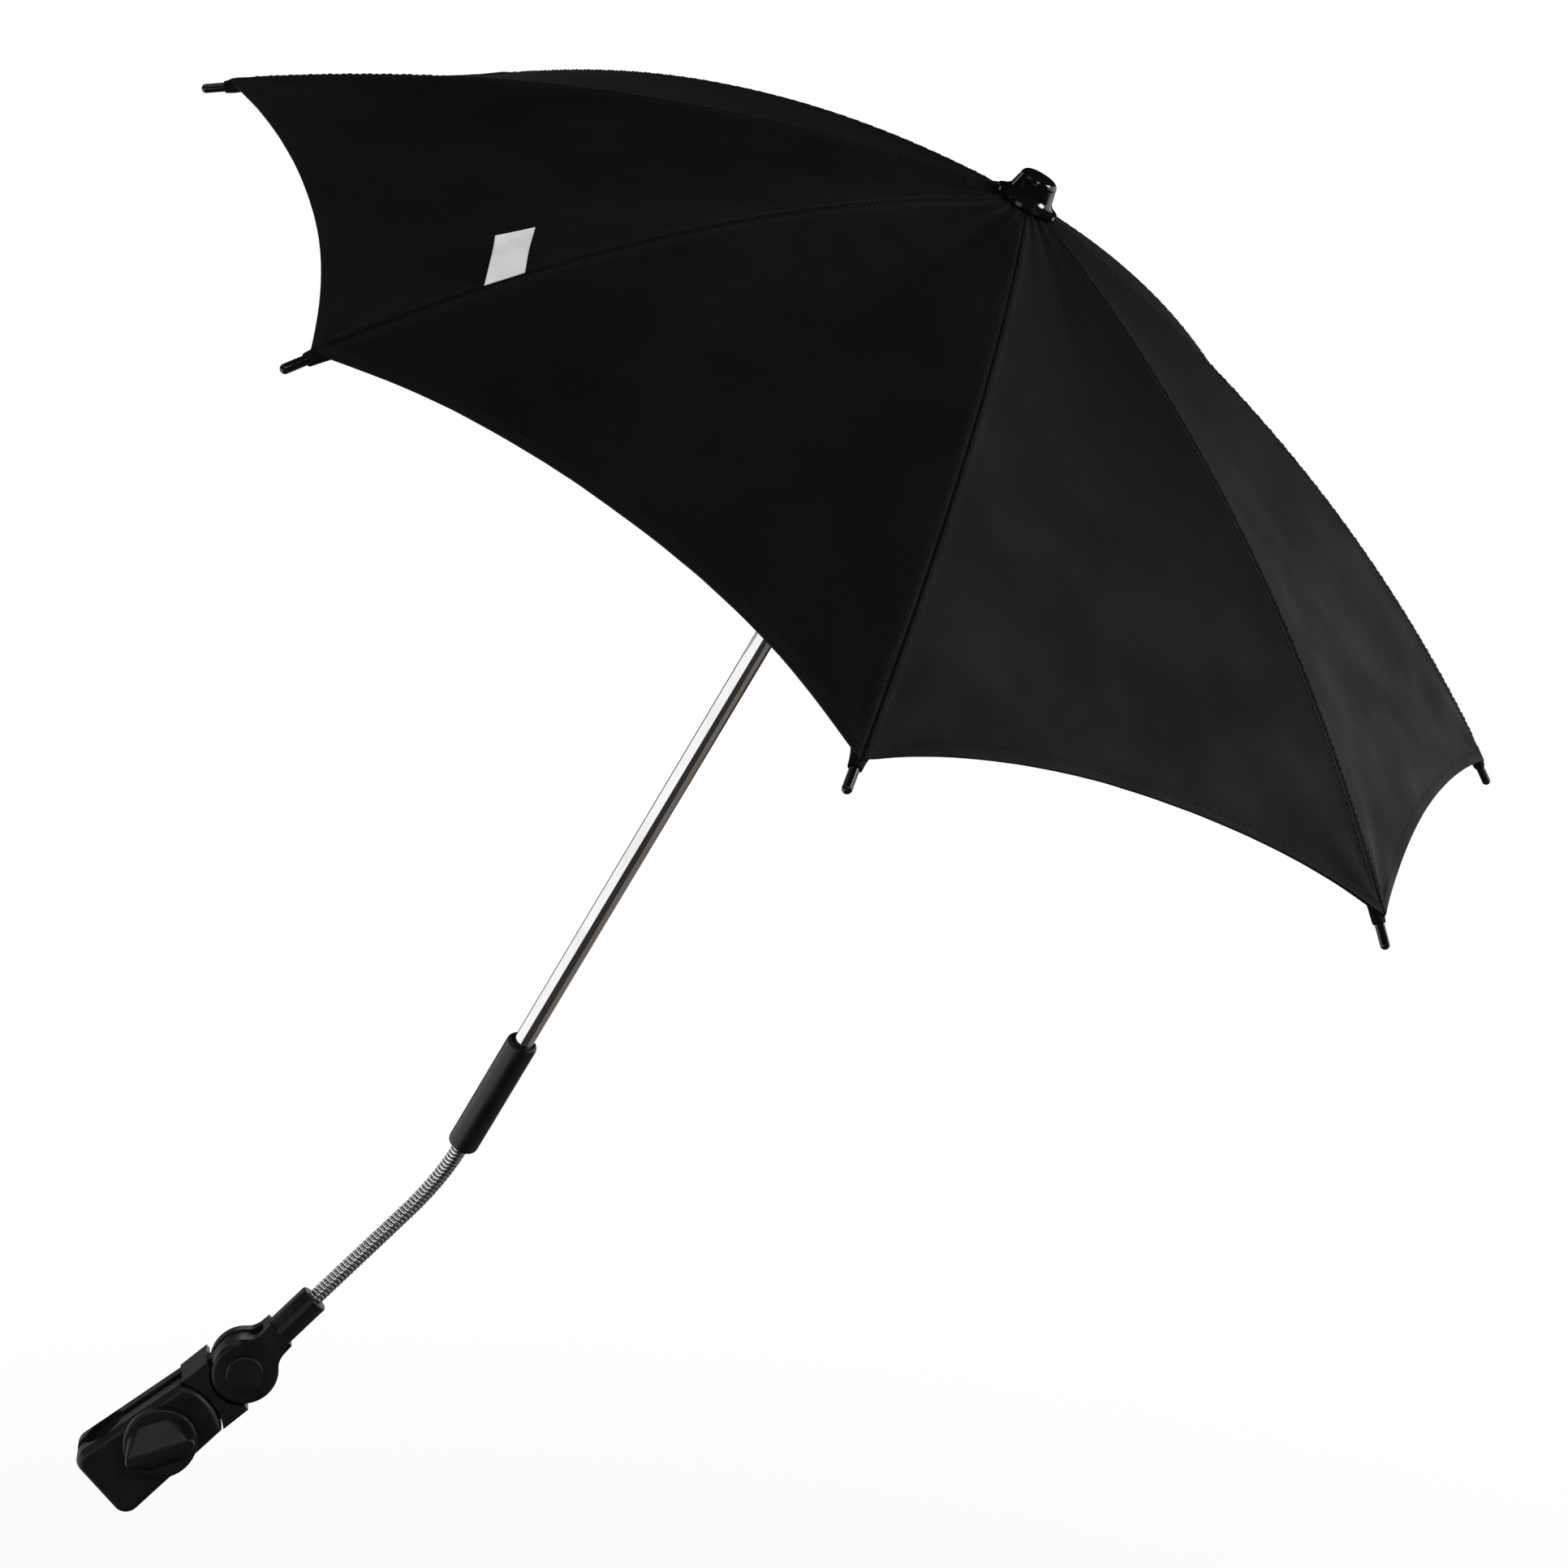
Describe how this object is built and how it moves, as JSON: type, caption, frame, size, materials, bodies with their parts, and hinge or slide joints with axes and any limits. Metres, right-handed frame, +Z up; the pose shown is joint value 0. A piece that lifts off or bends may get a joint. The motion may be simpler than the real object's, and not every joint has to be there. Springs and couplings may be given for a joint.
{
  "type": "pram parasol",
  "caption": "Clamp-on pram parasol: folding dark fabric canopy on a chrome pole, bendable ribbed metal neck and a black plastic screw clamp with a swivel joint.",
  "frame": {"origin": "centre of the pram's frame tube gripped by the clamp", "axes": "+Z up as in the picture, +Y along the clamp screw away from the knob, +X to the right of the picture"},
  "size_m": [0.7126, 0.6588, 0.8047],
  "materials": {
    "canopy_fabric": "dark grey woven polyester",
    "tip_plastic": "glossy black",
    "rib_steel": "black coated steel",
    "pole_chrome": "bright chrome",
    "neck_chrome": "bright chrome",
    "bright_steel": "zinc plated",
    "pad_rubber": "soft black",
    "tag_cloth": "white satin, blank",
    "cap_plastic": "glossy black",
    "black_plastic": "satin black moulded"
  },
  "bodies": {
    "clamp": {"clamp_body": "black_plastic", "body_pad": "pad_rubber", "clamp_screw": "bright_steel", "guide_pins": "bright_steel", "clamp_spring": "bright_steel"},
    "jaw": {"clamp_jaw": "black_plastic", "jaw_pad": "pad_rubber"},
    "knob": {"clamp_knob": "black_plastic"},
    "arm": {"socket_arm": "black_plastic", "swivel_bolt": "black_plastic", "swivel_nut": "black_plastic", "neck_hose": "neck_chrome", "neck_core": "bright_steel"},
    "mast": {"pole": "pole_chrome", "pole_sleeve": "black_plastic", "crown_hub": "black_plastic", "crown_wire": "bright_steel", "top_cap": "cap_plastic"},
    "runner": {"runner": "black_plastic", "runner_wire": "bright_steel"},
    "button": {"runner_button": "black_plastic"},
    "rib_1": {"rib_1": "rib_steel", "rib_tip_1": "tip_plastic", "gore_1": "canopy_fabric"},
    "stretcher_1": {"stretcher_1": "rib_steel"},
    "rib_2": {"rib_2": "rib_steel", "rib_tip_2": "tip_plastic", "gore_2": "canopy_fabric", "tag": "tag_cloth"},
    "stretcher_2": {"stretcher_2": "rib_steel"},
    "rib_3": {"rib_3": "rib_steel", "rib_tip_3": "tip_plastic", "gore_3": "canopy_fabric"},
    "stretcher_3": {"stretcher_3": "rib_steel"},
    "rib_4": {"rib_4": "rib_steel", "rib_tip_4": "tip_plastic", "gore_4": "canopy_fabric"},
    "stretcher_4": {"stretcher_4": "rib_steel"},
    "rib_5": {"rib_5": "rib_steel", "rib_tip_5": "tip_plastic", "gore_5": "canopy_fabric"},
    "stretcher_5": {"stretcher_5": "rib_steel"},
    "rib_6": {"rib_6": "rib_steel", "rib_tip_6": "tip_plastic", "gore_6": "canopy_fabric"},
    "stretcher_6": {"stretcher_6": "rib_steel"},
    "rib_7": {"rib_7": "rib_steel", "rib_tip_7": "tip_plastic", "gore_7": "canopy_fabric"},
    "stretcher_7": {"stretcher_7": "rib_steel"},
    "rib_8": {"rib_8": "rib_steel", "rib_tip_8": "tip_plastic", "gore_8": "canopy_fabric"},
    "stretcher_8": {"stretcher_8": "rib_steel"}
  },
  "joints": [
    {"name": "knob_turn", "type": "hinge", "parent": "jaw", "child": "knob", "pos_m": [0.01722, -0.02, 0.01369], "axis": [0, 1, 0], "range_deg": [-180, 360]},
    {"name": "jaw_slide", "type": "slide", "parent": "clamp", "child": "jaw", "axis": [0, -1, 0], "range_m": [-0.002, 0.004], "deforming": ["clamp_spring"]},
    {"name": "swivel", "type": "hinge", "parent": "clamp", "child": "arm", "pos_m": [0.06356, 0, 0.05053], "axis": [0, 1, 0], "range_deg": [-60, 60]},
    {"name": "neck_bend", "type": "hinge", "parent": "arm", "child": "mast", "pos_m": [0.17379, 0, 0.15668], "axis": [0.5196, -0.6625, -0.5396], "range_deg": [-64, 26], "deforming": ["neck_hose", "neck_core"]},
    {"name": "fold", "type": "hinge", "parent": "mast", "child": "rib_1", "pos_m": [0.40508, -0.25037, 0.70092], "axis": [-0.2494, -0.9157, -0.3152], "range_deg": [0, 67.5], "deforming": ["gore_1"]},
    {"name": "stretch_1", "type": "hinge", "parent": "rib_1", "child": "stretcher_1", "pos_m": [0.26158, -0.22299, 0.73493], "axis": [-0.2494, -0.9157, -0.3152], "range_deg": [-135, 0]},
    {"name": "fold_2", "type": "hinge", "parent": "mast", "child": "rib_2", "pos_m": [0.40593, -0.25711, 0.6974], "axis": [0.4552, -0.7123, -0.5342], "range_deg": [0, 67.5], "deforming": ["gore_2", "tag"]},
    {"name": "stretch_2", "type": "hinge", "parent": "rib_2", "child": "stretcher_2", "pos_m": [0.27485, -0.32796, 0.68016], "axis": [0.4552, -0.7123, -0.5342], "range_deg": [-135, 0]},
    {"name": "fold_3", "type": "hinge", "parent": "mast", "child": "rib_3", "pos_m": [0.41152, -0.26044, 0.69336], "axis": [0.8932, -0.0917, -0.4402], "range_deg": [0, 67.5], "deforming": ["gore_3"]},
    {"name": "stretch_3", "type": "hinge", "parent": "rib_3", "child": "stretcher_3", "pos_m": [0.3618, -0.37981, 0.61734], "axis": [0.8932, -0.0917, -0.4402], "range_deg": [-135, 0]},
    {"name": "fold_4", "type": "hinge", "parent": "mast", "child": "rib_4", "pos_m": [0.41857, -0.25841, 0.69117], "axis": [0.8079, 0.5826, -0.0883], "range_deg": [0, 67.5], "deforming": ["gore_4"]},
    {"name": "stretch_4", "type": "hinge", "parent": "rib_4", "child": "stretcher_4", "pos_m": [0.47148, -0.34816, 0.58326], "axis": [0.8079, 0.5826, -0.0883], "range_deg": [-135, 0]},
    {"name": "fold_5", "type": "hinge", "parent": "mast", "child": "rib_5", "pos_m": [0.42295, -0.25221, 0.69211], "axis": [0.2494, 0.9157, 0.3152], "range_deg": [0, 67.5], "deforming": ["gore_5"]},
    {"name": "stretch_5", "type": "hinge", "parent": "rib_5", "child": "stretcher_5", "pos_m": [0.53966, -0.25156, 0.59789], "axis": [0.2494, 0.9157, 0.3152], "range_deg": [-135, 0]},
    {"name": "fold_6", "type": "hinge", "parent": "mast", "child": "rib_6", "pos_m": [0.42209, -0.24546, 0.69563], "axis": [-0.4552, 0.7123, 0.5342], "range_deg": [0, 67.5], "deforming": ["gore_6"]},
    {"name": "stretch_6", "type": "hinge", "parent": "rib_6", "child": "stretcher_6", "pos_m": [0.52639, -0.14659, 0.65266], "axis": [-0.4552, 0.7123, 0.5342], "range_deg": [-135, 0]},
    {"name": "fold_7", "type": "hinge", "parent": "mast", "child": "rib_7", "pos_m": [0.41651, -0.24213, 0.69967], "axis": [-0.8932, 0.0917, 0.4402], "range_deg": [0, 67.5], "deforming": ["gore_7"]},
    {"name": "stretch_7", "type": "hinge", "parent": "rib_7", "child": "stretcher_7", "pos_m": [0.43944, -0.09474, 0.71548], "axis": [-0.8932, 0.0917, 0.4402], "range_deg": [-135, 0]},
    {"name": "fold_8", "type": "hinge", "parent": "mast", "child": "rib_8", "pos_m": [0.40946, -0.24416, 0.70186], "axis": [-0.8079, -0.5826, 0.0883], "range_deg": [0, 67.5], "deforming": ["gore_8"]},
    {"name": "stretch_8", "type": "hinge", "parent": "rib_8", "child": "stretcher_8", "pos_m": [0.32975, -0.12639, 0.74956], "axis": [-0.8079, -0.5826, 0.0883], "range_deg": [-135, 0]},
    {"name": "runner_run", "type": "hinge", "parent": "stretcher_1", "child": "runner", "pos_m": [0.37829, -0.22234, 0.64071], "axis": [-0.2494, -0.9157, -0.3152], "range_deg": [0, 67.5]},
    {"name": "button_press", "type": "slide", "parent": "runner", "child": "button", "axis": [0.9207, 0.2656, -0.286], "range_m": [0, 0.0012], "stiffness_N_per_m": 800}
  ],
  "couplings": [
    {"joint": "knob_turn", "follows": "jaw_slide", "rad_per_m": 1570.8},
    {"joint": "stretch_1", "follows": "fold", "ratio": -2},
    {"joint": "fold_2", "follows": "fold", "ratio": 1},
    {"joint": "stretch_2", "follows": "fold", "ratio": -2},
    {"joint": "fold_3", "follows": "fold", "ratio": 1},
    {"joint": "stretch_3", "follows": "fold", "ratio": -2},
    {"joint": "fold_4", "follows": "fold", "ratio": 1},
    {"joint": "stretch_4", "follows": "fold", "ratio": -2},
    {"joint": "fold_5", "follows": "fold", "ratio": 1},
    {"joint": "stretch_5", "follows": "fold", "ratio": -2},
    {"joint": "fold_6", "follows": "fold", "ratio": 1},
    {"joint": "stretch_6", "follows": "fold", "ratio": -2},
    {"joint": "fold_7", "follows": "fold", "ratio": 1},
    {"joint": "stretch_7", "follows": "fold", "ratio": -2},
    {"joint": "fold_8", "follows": "fold", "ratio": 1},
    {"joint": "stretch_8", "follows": "fold", "ratio": -2},
    {"joint": "runner_run", "follows": "fold", "ratio": 1}
  ]
}
